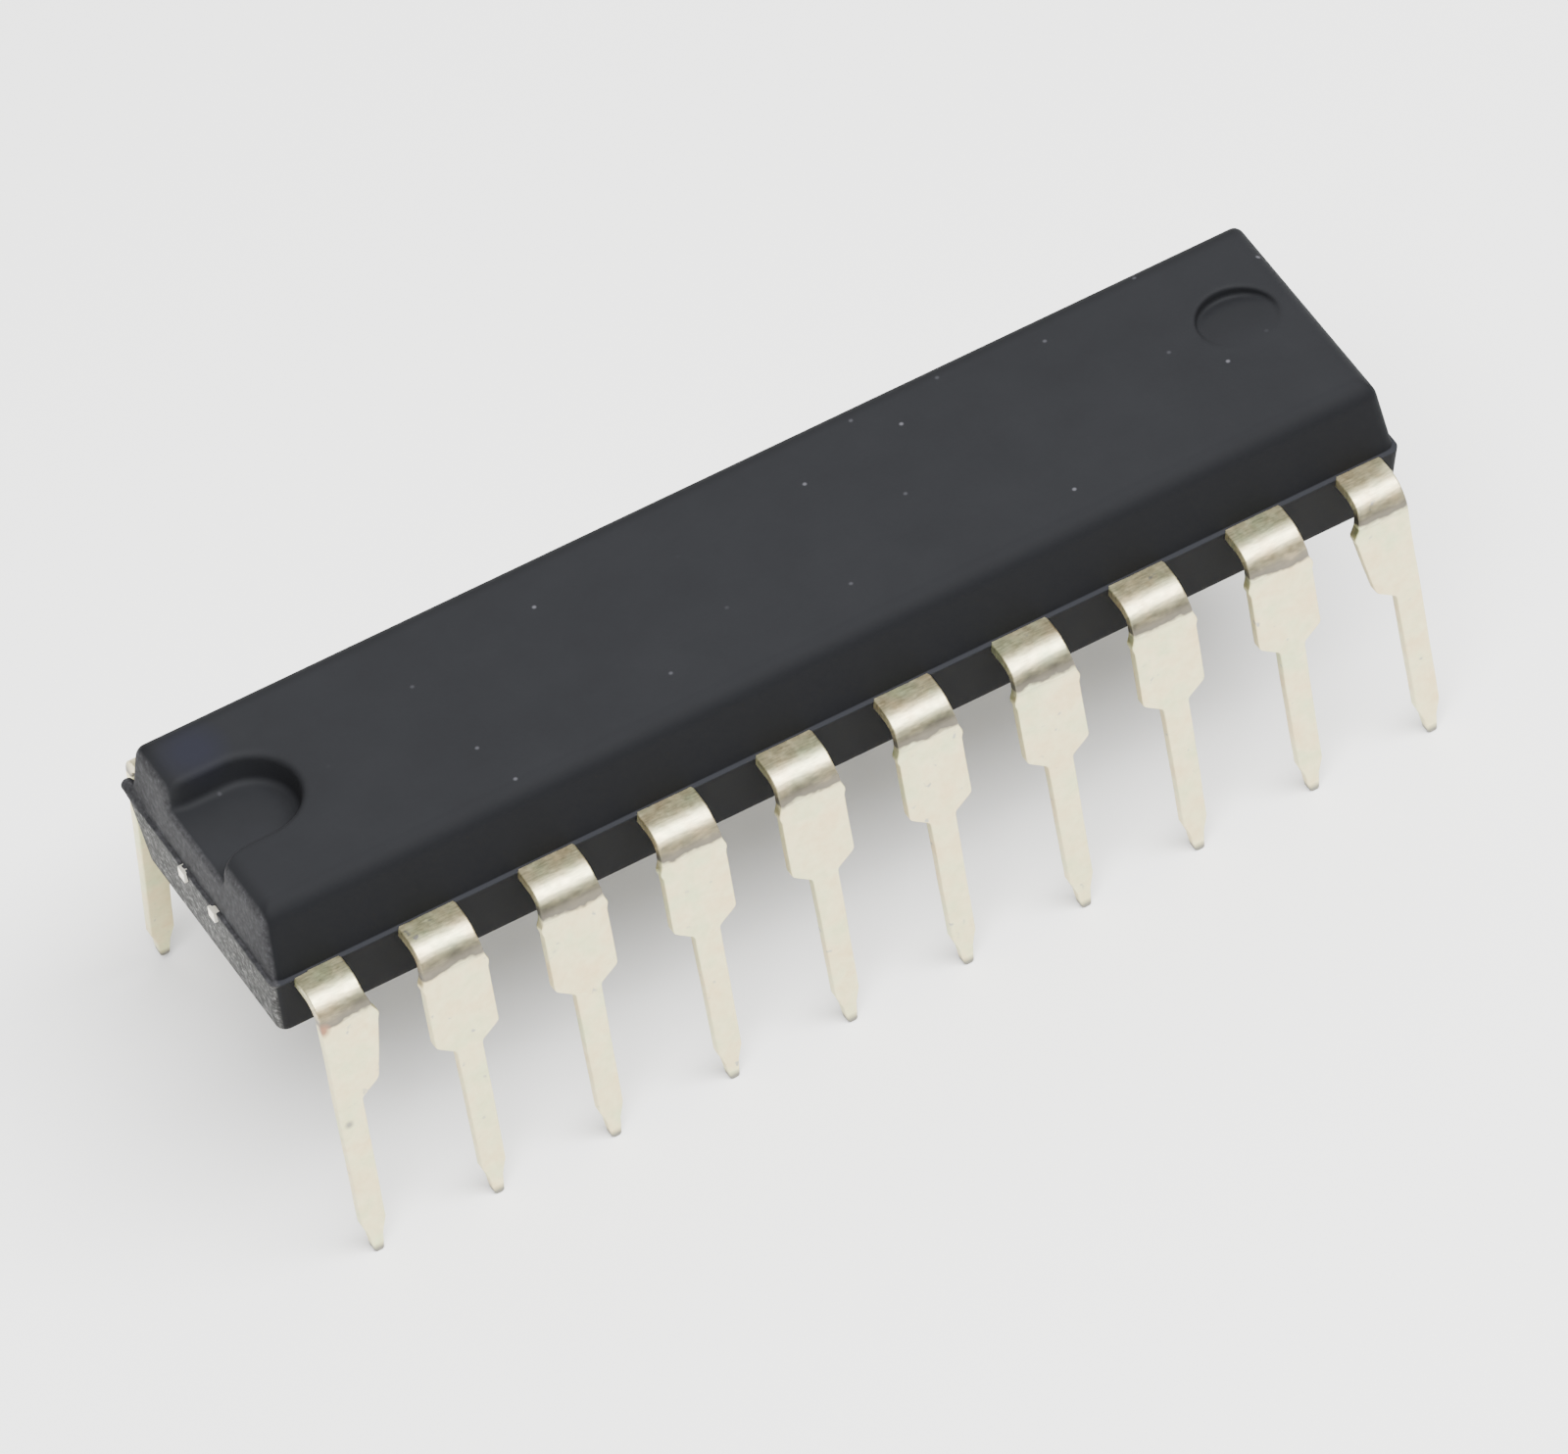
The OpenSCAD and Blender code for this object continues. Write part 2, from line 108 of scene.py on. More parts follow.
# sizes in mm, angles in degrees
leads = {
    "perRow": 10, "pitch": 2.54, "rowSpace": 7.62, "bodyWidth": 6.0,
    "thick": 0.25, "bendRadius": 0.35, "lean": 4.5, "length": 5.95,
    "neck": 1.22, "stub": 1.44, "stubLength": 0.26, "wide": 1.34,
    "shoulder": 1.8, "shoulderHeight": 0.3, "leg": 0.54, "legEnd": 0.50,
    "tipLength": 0.75, "nibLength": 0.41, "nib": 0.29, "tip": 0.20, "endNeck": 1.0, "endWide": 0.88,
    "rootLength": 0.35, "fingerGap": 0.22, "rootGap": 0.19, "fingerTurn": 0.6,
    "paddleLength": 5.0, "paddleWidth": 3.0, "paddleGap": 0.25, "tieWidth": 0.24, "tieY": 0.6,
    # fingers 1 to 3: how far from the paddle they end; 4 and 5: sideways shift, turn back, place along
    # the paddle
    "endFingers": {1: 0, 2: 0.45, 3: 1.1},
    "sideFingers": {4: (0.4, 0.15, 0.3), 5: (0.0, 0.2, 1.5)},
    # rounded corners of the shoulder and of its foot, as further down and further out than the sharp corner
    "shoulderRound": [(-0.03, -0.008), (0, -0.026), (0.035, -0.062)],
    "footRound": [(-0.045, 0.045), (-0.01, 0.018), (0.03, 0.005), (0.08, 0)],
    "edgeRound": 0.035, "tipRound": 0.02,
    # slow waves along each lead: how fast they turn per mm, and their share
    "waviness": 0.006, "waves": [(1.9, 1.0), (4.3, 0.6)], "waveFrom": -0.6, "waveIn": 0.8,
    # how far the point of leads 1 to 10 and 20 stands outwards, along +X and up, as seen in the photograph
    "bent": {1: (0.02, -0.05, 0), 2: (0.03, -0.02, 0), 3: (0.03, -0.04, 0), 4: (0.02, -0.01, 0),
             5: (0.02, 0, 0), 6: (-0.01, 0.01, 0), 7: (-0.01, 0.04, 0), 8: (-0.05, 0.02, 0),
             9: (-0.13, 0.06, 0), 10: (-0.17, 0.15, 0), 20: (0.16, 0, 0.15)},
    # the others bend by chance, by about this much
    "jitter": 0.035, "seed": 20, "bendIn": 1.5, "swayIn": 2.2,
    # the strip's own map: v runs down the lead in mm and is 0 at the lower end of the bend
    "bendV": -0.8, "rootV": -1.6, "fingerV": -4.0,
}

lean = math.radians(leads["lean"])
# height of the parting plane, which is the top of the flat strip, over the lead tips
partZ = leads["thick"] + leads["bendRadius"] * (1 - math.sin(lean)) + leads["length"] * math.cos(lean)
rootU = leads["bodyWidth"] / 2 - leads["rootLength"]
laneStep = (rootU - leads["rootGap"] - leads["tieY"] - leads["tieWidth"] / 2) / 3
fingerWidth = laneStep - leads["fingerGap"]


def fingerPath(k, rootX):
    # The finger's centre line in plan, (x, u) from tip to root, with u outwards across the body. Fingers
    # 1 to 3 come along their lane beside the tie bar and turn out at 45 degrees, 4 and 5 come straight
    # from the paddle.
    s = leads
    if k in s["endFingers"]:
        lane = s["tieY"] + s["tieWidth"] / 2 + s["fingerGap"] + fingerWidth / 2 + (k - 1) * laneStep
        turn = min(s["fingerTurn"], rootU - lane)
        tipX = -s["paddleLength"] / 2 - s["paddleGap"] - s["endFingers"][k]
        path = [(tipX, lane), (rootX + turn, lane), (rootX, lane + turn), (rootX, rootU)]
    else:
        shift, turnBack, inside = s["sideFingers"][k]
        path = [(inside - s["paddleLength"] / 2, s["paddleWidth"] / 2 + s["paddleGap"]),
                (rootX + shift, rootU - turnBack), (rootX + shift, rootU)]
    path = np.array(path)
    if np.allclose(path[-1], path[-2]):   # the turn can end right at the root
        path = path[:-1]
    return path


def outlines(top, neckHi, endLead):
    # Half widths of the leg on its inner and outer side, as places down from the bend and widths there,
    # with straight lines between them. An end lead has a straight outer side.
    s = leads
    halfWide, halfLeg, shoulder = s["wide"] / 2, s["leg"] / 2, s["shoulder"]
    foot = shoulder + s["shoulderHeight"]
    stubOut = (s["stub"] - s["wide"]) / 2
    point = [(s["length"] - s["tipLength"], s["legEnd"] / 2), (s["length"] - s["nibLength"], s["nib"] / 2),
             (s["length"], s["tip"] / 2)]
    inner = [(0, (neckHi + top) / 2), (0.08, 0.2 * neckHi + 0.8 * top), (0.19, top + 0.6 * stubOut),
             (s["stubLength"], top + 0.7 * stubOut), (s["stubLength"] + 0.12, top),
             (shoulder - 0.07, halfWide + (top - halfWide) * 0.04)]
    inner += [(shoulder + down, halfWide + out) for down, out in s["shoulderRound"]]
    inner += [(foot + down, halfLeg + out) for down, out in s["footRound"]]
    outer = [(0, halfLeg)] if endLead else inner
    return np.array(inner + point).T, np.array(outer + point).T


def stripRing():
    # The section's outline: four rounded corners, and three more points on each broad face. Gives for
    # each point which edge it goes with, 0 or 1 across the strip, how far it is from that edge, and its
    # height.
    r, h = leads["edgeRound"], leads["thick"] / 2
    ring = []
    for corner, (edge, sign) in enumerate([(1, 1), (0, 1), (0, -1), (1, -1)]):
        for t in np.linspace(0, math.pi / 2, 5) + corner * math.pi / 2:
            ring.append((edge, math.cos(t) * r - (r if edge else -r), math.sin(t) * r + sign * (h - r)))
        if corner in (0, 2):
            for share in (0.3, 0.5, 0.7):
                ring.append((1 - share if corner == 0 else share, 0.0, sign * h))
    return np.array(ring).T


def leadGrid(k, bent, phases):
    # A rounded strip section is carried along the lead: finger, neck, bend of constant radius, then the
    # leg. Each ring has its own left and right half width, so shoulders, stubs and point come from the
    # widths alone.
    s = leads
    middle = s["bendRadius"] + s["thick"] / 2
    bendU = s["rowSpace"] / 2 + s["thick"] / 2 - s["bendRadius"] - s["thick"]
    bendZ = partZ - s["thick"] - s["bendRadius"]
    flatZ = partZ - s["thick"] / 2
    leadX = (k - (s["perRow"] + 1) / 2) * s["pitch"]
    endLead = k == 1
    neckLo = -s["leg"] / 2 if endLead else -s["neck"] / 2
    neckHi = s["endNeck"] - s["leg"] / 2 if endLead else s["neck"] / 2
    top = s["endWide"] if endLead else s["wide"] / 2
    alongX, upZ = (1, 0, 0), (0, 0, 1)
    stations = []

    def station(point, sideways, facing, low, high, along):
        stations.append([*point, *sideways, *facing, low, high, along])

    # finger, walked from its tip to the root, with the mitre as the side direction
    path = fingerPath(k, leadX + (neckLo + neckHi) / 2)
    steps = np.diff(path, axis=0)
    steps /= np.linalg.norm(steps, axis=1)[:, None]
    for q, (x, u) in enumerate(path):
        before, after = steps[max(q - 1, 0)], steps[min(q, len(steps) - 1)]
        lefts = np.array([[-before[1], before[0]], [-after[1], after[0]]])
        mitre = lefts.sum(0) / np.linalg.norm(lefts.sum(0))
        mitre = -mitre / (mitre @ lefts[0])
        station((x, -u, flatZ), (mitre[0], -mitre[1], 0), upZ, -fingerWidth / 2, fingerWidth / 2,
                s["fingerV"] + 2.0 * q / len(path))

    # at the root the finger's width turns into the neck's
    lastX = path[-1][0] - leadX
    for u, low, high in ((rootU + 0.001, lastX - fingerWidth / 2, lastX + fingerWidth / 2),
                         (rootU + 0.012, neckLo, neckHi)):
        station((leadX, -u, flatZ), alongX, upZ, low, high, s["rootV"])
    for u in np.linspace(rootU + 0.03, bendU, 10):
        station((leadX, -u, flatZ), alongX, upZ, neckLo, neckHi, u - bendU + s["bendV"])

    # the bend turns until the leg leans, and the neck starts to widen on its lower half
    turnEnd = math.pi / 2 - lean
    for t in np.linspace(0, turnEnd, 22)[1:]:
        wider = 0.5 * (top - neckHi) * smoothStep(2 * t / turnEnd - 1)
        station((leadX, -(bendU + middle * math.sin(t)), bendZ + middle * math.cos(t)), alongX,
                (0, -math.sin(t), math.cos(t)), neckLo if endLead else neckLo - wider, neckHi + wider,
                s["bendV"] - s["bendV"] * t / turnEnd)

    # leg: rings lie closer where the outline changes, down to the cut end, drawn in a little to round its
    # edge
    (innerDown, innerWidth), (outerDown, outerWidth) = outlines(top, neckHi, endLead)
    shoulder, tipStart = s["shoulder"], s["length"] - s["tipLength"]
    spans = [(0, 0.5, 24), (0.5, shoulder - 0.1, 14), (shoulder - 0.1, shoulder + 0.45, 26),
             (shoulder + 0.45, tipStart - 0.05, 26), (tipStart - 0.05, s["length"] - 0.02, 22)]
    places = np.concatenate([np.linspace(*span) for span in spans])
    places = np.unique(np.concatenate([places[1:], innerDown[1:-1]]))
    start = np.array([leadX, -(bendU + middle * math.cos(lean)), bendZ + middle * math.sin(lean)])
    down = np.array([0, -math.sin(lean), -math.cos(lean)])
    outwards = (0, -math.cos(lean), math.sin(lean))
    for d in places:
        station(start + down * d, alongX, outwards, -np.interp(d, outerDown, outerWidth),
                np.interp(d, innerDown, innerWidth), d)
    cutEnd = s["tip"] / 2 - s["tipRound"]
    station(start + down * s["length"], alongX, outwards, -cutEnd, cutEnd, s["length"])

    rows = np.array(stations, float)
    centre, side, normal = rows[:, 0:3], rows[:, 3:6], rows[:, 6:9]
    low, high, along = rows[:, 9:].T
    ringSide, ringEdge, ringUp = stripRing()
    across = low[:, None] + (high - low)[:, None] * ringSide + ringEdge

    # nothing is flat: a slow wave along each face, a slight sway and a slight bend of the leg
    leg = np.clip(along, 0, None)
    share = leg / s["length"]
    waves = [part * np.sin(turn * along + phase) for (turn, part), phase in zip(s["waves"], phases)]
    wave = s["waviness"] * sum(waves) * smoothStep((along - s["waveFrom"]) / s["waveIn"])
    out = bent[0] * share * smoothStep(leg / s["bendIn"]) + wave
    grid = (centre[:, None, :] + across[..., None] * side[:, None, :]
            + (ringUp + out[:, None])[..., None] * normal[:, None, :])
    grid[..., 0] += (bent[1] * share * smoothStep(leg / s["swayIn"]))[:, None]
    # a leg bent inwards would reach below the plane that the part stands on, so it is that much shorter
    grid[..., 2] += ((bent[2] - min(bent[0], 0) * math.sin(lean)) * share)[:, None]
    return grid, np.stack([across, np.broadcast_to(along[:, None], across.shape)], axis=-1)


def gridPiece(name, grid, uv, material, node):
    # closes a grid of rings into a tube with capped ends; the sign of its volume tells if the faces point
    # outwards
    rings, around = grid.shape[:2]
    i, j = np.meshgrid(np.arange(rings - 1), np.arange(around), indexing="ij")
    nextJ = (j + 1) % around
    near, far = i * around, (i + 1) * around
    faces = np.stack([near + j, far + j, far + nextJ, near + nextJ], axis=-1).reshape(-1, 4)
    points = grid.reshape(-1, 3)
    a, b, c, d = (points[faces[:, corner]] for corner in range(4))
    outwards = (np.cross(a, b) * c).sum() + (np.cross(a, c) * d).sum() >= 0
    first, last = list(range(around)), list(range((rings - 1) * around, rings * around))
    if outwards:
        faceList = faces.tolist() + [first, last[::-1]]
    else:
        faceList = faces[:, ::-1].tolist() + [first[::-1], last]
    mesh = bpy.data.meshes.new(name)
    mesh.from_pydata(points.tolist(), [], faceList)
    uvLayer = mesh.uv_layers.new(name="strip")
    corners = np.empty(len(mesh.loops), np.int32)
    mesh.loops.foreach_get("vertex_index", corners)
    uvLayer.data.foreach_set("uv", uv.reshape(-1, 2)[corners].astype(np.float32).ravel())
    mesh.polygons.foreach_set("use_smooth", [True] * len(mesh.polygons))
    mesh.materials.append(material)
    mesh.validate()
    piece = bpy.data.objects.new(name, mesh)
    bpy.context.scene.collection.objects.link(piece)
    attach(piece, "root")
    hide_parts(node)


tinLook = {
    # noises: how many to a mm, detail, roughness
    "noises": {"grain": (9, 4, 0.6), "cloud": (1.4, 3, 0.55), "speck": (3.6, 2, 0.5),
               "mottle": (5.2, 3, 0.6)},
    "clouds": [(0.3, "#e6d3a4"), (0.5, "#e6deb0"), (0.7, "#d6dbac")],
    "mottle": [(0.35, "#f8f5f0"), (0.65, "#ffffff")],
    "specks": "#a9a79c", "speckShare": [(0.7, 0.0), (0.76, 1.0)],
    # the cut end's bare strip starts and is full this far above the end, in mm
    "bareStrip": "#77756c", "bareFrom": 0.2, "bareFull": 0.06,
    # lines drawn by the forming tool, to a mm across and along the strip, and how soon they fade under
    # the bend; their cool grey also darkens the bend as a painted reflection
    "drawnLinesAndPaintedGrey": [(0.34, "#cacbd2"), (0.6, "#f8f8fc")], "linesPerMm": (3.5, 19.0, 1.0), "lineFade": 0.1,
    # painted reflection: a dark band on the lower bend that stands in for the dark room it mirrors, from
    # and to on the strip's map, and how ragged its edge is
    "paintedReflection": "#68635a", "paintedReflectionFrom": -0.54, "paintedReflectionTo": 0.06, "ragged": 0.5,
    "paintedReflectionShare": [(0.15, 0.0), (0.45, 0.5), (0.62, 0.9), (0.82, 1.0), (0.93, 0.0)],
    # a stain and a rubbed spot on lead 1: place and reach in mm
    "marks": [((-11.68, -3.94, 5.9), 0.2, "#94705a"), ((-11.555, -4.135, 3.384), 0.12, "#8f8d80")],
    "roughness": [(0.3, 0.38), (0.7, 0.48)], "bump": 0.15, "bumpHeight": 0.003,
}


def tinPlate():
    # matt tin plate on stamped copper alloy strip: a satin metal with a warm white colour, rough enough
    # to blur what it mirrors into soft bands. The plating bath leaves faint pink and green clouds, and
    # handling leaves grey specks. The tin's real grain, some hundredths of a mm, is drawn at 0.1 mm to
    # show.
    look = tinLook
    made, tree = newMaterial("mattTinPlate")
    place = addNode(tree, "ShaderNodeTexCoord").outputs["Object"]
    noise = {}
    for name, (perMm, detail, rough) in look["noises"].items():
        values = {"Vector": place, "Scale": perMm / mm, "Detail": detail, "Roughness": rough}
        noise[name] = addNode(tree, "ShaderNodeTexNoise", values).outputs[0]
    clouds = addNode(tree, "ShaderNodeValToRGB", {0: noise["cloud"]}, look["clouds"])
    mottle = addNode(tree, "ShaderNodeValToRGB", {0: noise["mottle"]}, look["mottle"])
    specks = addNode(tree, "ShaderNodeValToRGB", {0: noise["speck"]}, look["speckShare"])
    strip = addNode(tree, "ShaderNodeUVMap", uv_map="strip").outputs[0]
    down = addNode(tree, "ShaderNodeSeparateXYZ", {0: strip}).outputs[1]
    cutEnd = addNode(tree, "ShaderNodeMapRange",
                     {"Value": down, "From Min": leads["length"] - look["bareFrom"],
                      "From Max": leads["length"] - look["bareFull"]})
    # the forming tool has drawn fine lines across the bend; their cool grey, darker than the tin, is partly
    # a painted reflection that makes the bend top greyer
    stretched = addNode(tree, "ShaderNodeMapping", {"Vector": strip, "Scale": look["linesPerMm"]})
    lineNoise = addNode(tree, "ShaderNodeTexNoise",
                        {"Vector": stretched.outputs[0], "Scale": 1.0, "Detail": 4, "Roughness": 0.6})
    lines = addNode(tree, "ShaderNodeValToRGB", {0: lineNoise.outputs[0]}, look["drawnLinesAndPaintedGrey"])
    onBend = addNode(tree, "ShaderNodeMapRange",
                     {"Value": down, "From Min": look["lineFade"], "From Max": 0.0})
    # painted reflection: a darker, browner band with a ragged edge on the lower bend, standing in for the
    # dark room that the bend mirrors
    ragged = addNode(tree, "ShaderNodeMath",
                     {0: noise["cloud"], 1: look["ragged"], 2: -0.5 * look["ragged"]},
                     operation="MULTIPLY_ADD")
    shifted = addNode(tree, "ShaderNodeMath", {0: down, 1: ragged.outputs[0]}, operation="ADD")
    inBand = addNode(tree, "ShaderNodeMapRange", {"Value": shifted.outputs[0], "From Min": look["paintedReflectionFrom"],
                                                  "From Max": look["paintedReflectionTo"]})
    band = addNode(tree, "ShaderNodeValToRGB", {0: inBand.outputs[0]}, look["paintedReflectionShare"])
    coats = [
        (1.0, mottle.outputs[0], "MULTIPLY"),
        (specks.outputs[0], look["specks"], "MIX"),
        (cutEnd.outputs[0], look["bareStrip"], "MIX"),
        (onBend.outputs[0], lines.outputs[0], "MULTIPLY"),
        # painted reflection: the dark band on the lower bend
        (band.outputs[0], look["paintedReflection"], "MIX"),
    ]
    for point, reach, colour in look["marks"]:
        coats.append((nearPoint(tree, place, point, reach), colour, "MIX"))
    rough = addNode(tree, "ShaderNodeValToRGB", {0: noise["grain"]}, look["roughness"])
    bump = addNode(tree, "ShaderNodeBump", {"Height": noise["grain"], "Strength": look["bump"],
                                            "Distance": look["bumpHeight"] * mm})
    finishMaterial(tree, {"Base Color": layOver(tree, clouds.outputs[0], coats), "Metallic": 1.0,
                          "Roughness": rough.outputs[0], "Normal": bump.outputs[0]})
    return made


tin = tinPlate()
rng = np.random.default_rng(leads["seed"])
for number in range(1, 2 * leads["perRow"] + 1):
    farRow = number > leads["perRow"]
    inRow = number - leads["perRow"] if farRow else number
    k = min(inRow, leads["perRow"] + 1 - inRow)   # 1 at the end of a row, 5 in its middle
    byChance = [*rng.normal(0, leads["jitter"], 2), 0]
    bent = list(leads["bent"].get(number, byChance))
    flipX = (-1 if inRow > leads["perRow"] / 2 else 1) * (-1 if farRow else 1)
    bent[1] *= flipX
    grid, uv = leadGrid(k, bent, rng.uniform(0, 6.28, 2))
    grid[..., 0] *= flipX
    grid[..., 1] *= -1 if farRow else 1
    gridPiece(f"leadStrip_{number}", grid * mm, uv, tin, f"lead_{number}")
print("leads made")


# sizes in mm, angles in degrees
moulding = {
    "length": 24.3, "width": 6.0, "upper": 1.55, "lower": 1.7, "sideDraft": 11, "endDraft": 4.5,
    "ledge": 0.08, "topRound": 0.34, "bottomRound": 0.15, "cornerRound": 0.22, "ledgeRound": 0.03,
    "notchWidth": 2.06, "notchLength": 2.2, "notchY": 0.22, "notchDepth": 0.65, "notchLean": 0.08,
    "notchRim": 0.13, "notchFloor": 0.12, "farMouth": 0.25, "nearMouth": 0.5, "mouthBlend": 0.6,
    "pinWidth": 1.6, "pinDepth": 0.25, "pinIn": 1.3, "pinY": 0.38, "pinRim": 0.07, "pinFloor": 0.08,
    # the pin mark's depth in its middle, and how much it gains or loses to the sides, as shares
    "pinLevel": 0.4, "pinTilt": 0.7,
    "underPin": 0.15, "underPinRim": 0.04, "underPinFloor": 0.05,
    "gateOut": 0.11, "gateWidth": 0.28, "gateIn": 0.12, "gateUp": 0.06, "gateLength": 0.6, "gateRound": 0.09,
    "gateJoin": 0.06,
    # the parting line's ripple at the notched end: height, and turn per mm, phase and share of its waves
    "ripple": 0.012, "rippleWaves": [(9.1, 1, 1.0), (17.3, 0, 1.0), (31.7, 2, 0.7)],
    "rippleFrom": 11.4, "rippleIn": 0.5,
    # spacing of the grid that the skin is worked out on
    "step": 0.05, "fineStep": 0.025, "longStep": 0.4,
}
epoxyLook = {
    # noises: how many to a mm, detail, roughness
    "noises": {"grain": (14, 5, 0.65), "cloud": (0.7, 4, 0.6), "coarse": (8.5, 4, 0.7)},
    "top": [(0.3, "#101114"), (0.7, "#131417")], "topGloss": 0.22,
    # painted shade on the sides: their darker colour and lower gloss, and where a place starts to count as
    # side and counts fully, by |y| plus half its depth under the top, in mm
    "side": "#0c0d10", "sideShadeGloss": 0.14, "sideShadeFrom": 2.2, "sideShadeFull": 2.75,
    # painted highlight: the ledge's paler colour, over a height of 0.1 mm below and above the parting plane
    "ledge": "#242529", "ledgeHighlightReach": 0.1,
    "ledgeHighlightShare": [(0.25, 0.0), (0.42, 0.8), (0.56, 0.8), (0.66, 0.0)],
    # the notched end above and below the ledge, mottled and painted paler than the rest as painted light,
    # much paler below for the light of the pale floor; and how deep under its face that skin begins and is
    # full, in mm
    "endMottleAndLightAbove": [(0.3, "#1c1c1e"), (0.55, "#303032"), (0.75, "#434346")],
    "endMottleAndLightBelow": [(0.32, "#222221"), (0.5, "#434342"), (0.62, "#6a6a68"), (0.72, "#a2a29f")],
    "endFrom": 0.1, "endFull": 0.04, "belowFrom": 0.02, "belowFull": 0.12,
    # pale dots: cells to a mm, which cells have one, and its reach as a share of the cell
    "dots": "#48484d", "dotsPerMm": 0.5, "dotFew": (0.4, 0.9), "dotReach": (0.027, 0.01),
    "blue": "#12131d", "bluePlace": (-11.1, 1.8, 8.05), "blueReach": 0.8,
    "roughness": 0.78, "ior": 1.5, "bump": 0.4, "bumpHeight": 0.005,
}


def mouldedEpoxy():
    # Black epoxy filled with fused silica, transfer moulded in a spark-eroded mould: matt, with an even
    # pitted grain. The notched end is where the gate was broken off, so it is coarser and mottled with
    # filler, and it is painted paler than the rest as painted light, much paler below the ledge for the
    # light of the pale floor. The real grain is about 0.05 mm; it is drawn at 0.07 mm, and at 0.12 mm on the
    # notched end, to show.
    look, s = epoxyLook, moulding
    made, tree = newMaterial("mouldedEpoxy")
    place = addNode(tree, "ShaderNodeTexCoord").outputs["Object"]
    x, y, z = addNode(tree, "ShaderNodeSeparateXYZ", {0: place}).outputs
    noise = {}
    for name, (perMm, detail, rough) in look["noises"].items():
        values = {"Vector": place, "Scale": perMm / mm, "Detail": detail, "Roughness": rough}
        noise[name] = addNode(tree, "ShaderNodeTexNoise", values).outputs[0]
    tint = addNode(tree, "ShaderNodeValToRGB", {0: noise["cloud"]}, look["top"])

    # painted shade: the drafted sides are painted darker and given less gloss than the top, for the shade
    # that they lie in under this light
    absY = addNode(tree, "ShaderNodeMath", {0: y}, operation="ABSOLUTE")
    asideOf = addNode(tree, "ShaderNodeMath", {0: z, 1: -0.5, 2: absY.outputs[0]}, operation="MULTIPLY_ADD")
    topLevel = -0.5 * (partZ + s["upper"])
    aside = addNode(tree, "ShaderNodeMapRange",
                    {"Value": asideOf.outputs[0], "From Min": (topLevel + look["sideShadeFrom"]) * mm,
                     "From Max": (topLevel + look["sideShadeFull"]) * mm}).outputs[0]
    gloss = addNode(tree, "ShaderNodeMapRange", {"Value": aside, "To Min": look["topGloss"],
                                                 "To Max": look["sideShadeGloss"]})
    # painted highlight: the sharp ledge, which faces up to the light, is painted paler
    aboutLedge = addNode(tree, "ShaderNodeMapRange",
                         {"Value": z, "From Min": (partZ - look["ledgeHighlightReach"]) * mm,
                          "From Max": (partZ + look["ledgeHighlightReach"]) * mm})
    ledgeHighlight = addNode(tree, "ShaderNodeValToRGB", {0: aboutLedge.outputs[0]}, look["ledgeHighlightShare"])

    # grains of pale filler lie open here and there on the top, about 0.1 mm across
    cells = addNode(tree, "ShaderNodeTexVoronoi", {"Vector": place, "Scale": look["dotsPerMm"] / mm},
                    voronoi_dimensions="2D")
    cellTone = addNode(tree, "ShaderNodeSeparateXYZ", {0: cells.outputs["Color"]})
    few = addNode(tree, "ShaderNodeMapRange",
                  {"Value": cellTone.outputs[0], "From Min": look["dotFew"][0],
                   "From Max": look["dotFew"][1]})
    dot = addNode(tree, "ShaderNodeMapRange",
                  {"Value": cells.outputs["Distance"], "From Min": look["dotReach"][0],
                   "From Max": look["dotReach"][1]})
    onTop = addNode(tree, "ShaderNodeMapRange", {"Value": aside, "To Min": 1.0, "To Max": 0.0})
    fewDots = addNode(tree, "ShaderNodeMath", {0: few.outputs[0], 1: dot.outputs[0]}, operation="MULTIPLY")
    topDots = addNode(tree, "ShaderNodeMath", {0: fewDots.outputs[0], 1: onTop.outputs[0]},
                      operation="MULTIPLY")

    # the notched end's skin: x, made upright by the draft and the ledge of its half, is near the end face
    below = addNode(tree, "ShaderNodeMapRange", {"Value": z, "From Min": (partZ - look["belowFrom"]) * mm,
                                                 "From Max": (partZ - look["belowFull"]) * mm}).outputs[0]
    up = addNode(tree, "ShaderNodeMath", {0: z, 1: partZ * mm}, operation="SUBTRACT")
    fromParting = addNode(tree, "ShaderNodeMath", {0: up.outputs[0]}, operation="ABSOLUTE")
    undrafted = addNode(tree, "ShaderNodeMath",
                        {0: fromParting.outputs[0], 1: -math.tan(math.radians(s["endDraft"])), 2: x},
                        operation="MULTIPLY_ADD")
    upright = addNode(tree, "ShaderNodeMath", {0: below, 1: s["ledge"] * mm, 2: undrafted.outputs[0]},
                      operation="MULTIPLY_ADD")
    endX = s["ledge"] - s["length"] / 2
    atEnd = addNode(tree, "ShaderNodeMapRange",
                    {"Value": upright.outputs[0], "From Min": (endX + look["endFrom"]) * mm,
                     "From Max": (endX + look["endFull"]) * mm}).outputs[0]
    # painted light: the end's mottled tones are paler than the rest, much paler below the ledge
    endMottleAndLightAbove = addNode(tree, "ShaderNodeValToRGB", {0: noise["coarse"]}, look["endMottleAndLightAbove"])
    endMottleAndLightBelow = addNode(tree, "ShaderNodeValToRGB", {0: noise["coarse"]}, look["endMottleAndLightBelow"])
    endSkin = layOver(tree, endMottleAndLightAbove.outputs[0], [(below, endMottleAndLightBelow.outputs[0], "MIX")])

